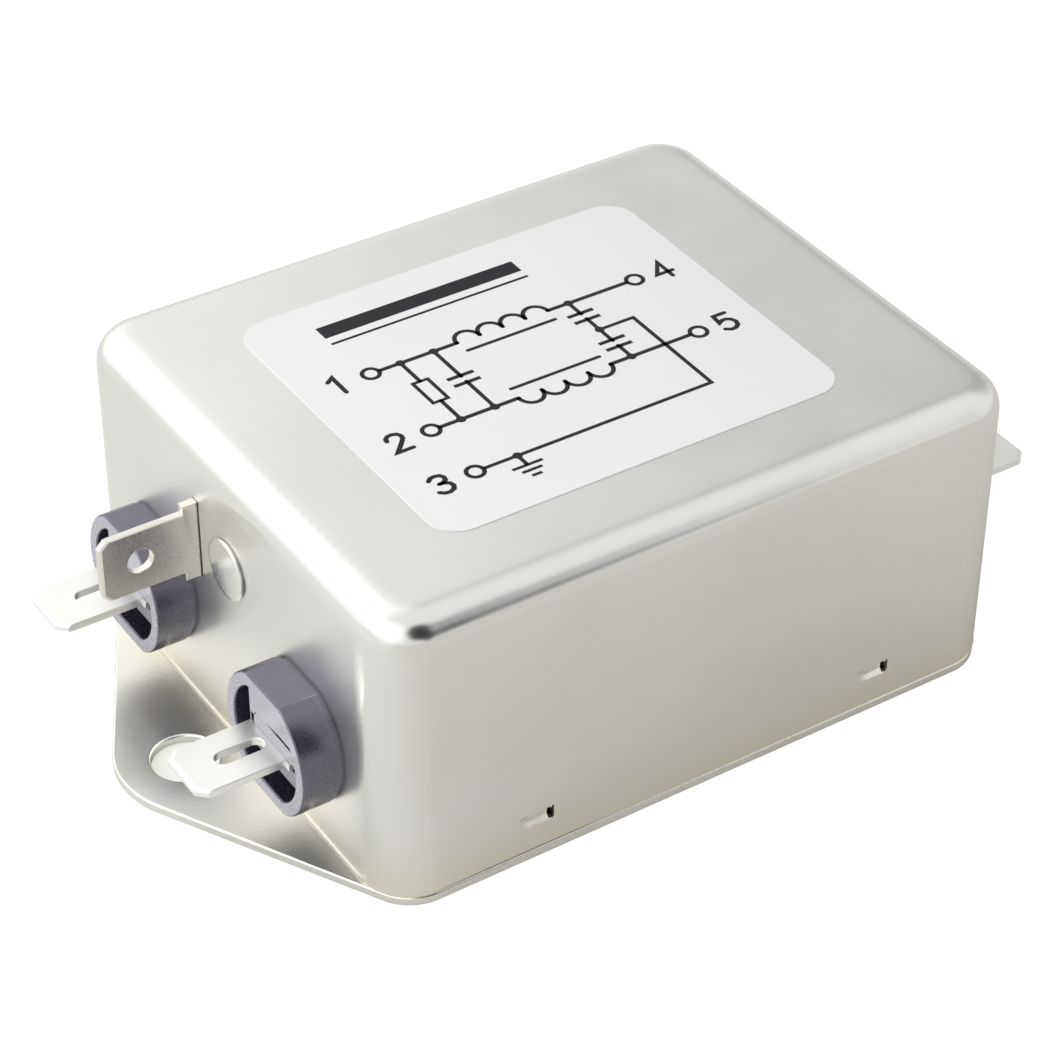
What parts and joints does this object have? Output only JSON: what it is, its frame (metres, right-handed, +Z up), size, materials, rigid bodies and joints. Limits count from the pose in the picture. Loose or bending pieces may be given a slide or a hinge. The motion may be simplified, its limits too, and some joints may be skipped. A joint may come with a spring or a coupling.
{
  "type": "emi line filter",
  "caption": "Chassis-mounted EMI line filter: a drawn metal can on a plate with bolt ears, flat quick-connect tabs in round insulated bushings at both ends, and a riveted earth tab",
  "frame": {"origin": "Middle of the footprint on the mounting surface, under the middle of the can and halfway between the two bolt holes", "axes": "+X runs from the LINE end, which has the earth tab, to the LOAD end; +Z points up from the mounting surface through the can; +Y completes a right-handed frame"},
  "size_m": [0.0882, 0.0532, 0.0303],
  "materials": {
    "can_metal": "satin nickel plate with soft reflections",
    "plate_metal": "satin nickel plate",
    "label_film": "matt white film",
    "bushing_plastic": "moulded dark grey, light sheen",
    "tab_metal": "bright tinned",
    "rivet_metal": "bright plated",
    "tray_plastic": "natural moulded nylon",
    "board_laminate": "solder-masked laminate",
    "ferrite": "lacquered ferrite",
    "enamelled_wire": "enamelled copper",
    "capacitor_box": "moulded case",
    "disc_lacquer": "dipped lacquer",
    "resistor_lacquer": "dipped lacquer",
    "lead_brown": "insulated wire",
    "lead_blue": "insulated wire",
    "lead_earth": "insulated wire"
  },
  "bodies": {
    "root": {"can": "can_metal", "base_plate": "plate_metal", "rating_label": "label_film", "bushing_line_l": "bushing_plastic", "bushing_line_n": "bushing_plastic", "bushing_load_l": "bushing_plastic", "bushing_load_n": "bushing_plastic", "tab_line_l": "tab_metal", "tab_line_n": "tab_metal", "tab_load_l": "tab_metal", "tab_load_n": "tab_metal", "earth_tab": "tab_metal", "earth_rivet": "rivet_metal", "insulating_tray": "tray_plastic", "circuit_board": "board_laminate", "choke_core": "ferrite", "choke_winding_l": "enamelled_wire", "choke_winding_n": "enamelled_wire", "winding_divider": "tray_plastic", "x_capacitor_line": "capacitor_box", "x_capacitor_load": "capacitor_box", "y_capacitor_l": "disc_lacquer", "y_capacitor_n": "disc_lacquer", "bleed_resistor": "resistor_lacquer", "lead_line_l": "lead_brown", "lead_line_n": "lead_blue", "lead_load_l": "lead_brown", "lead_load_n": "lead_blue", "earth_lead": "lead_earth"}
  },
  "joints": []
}
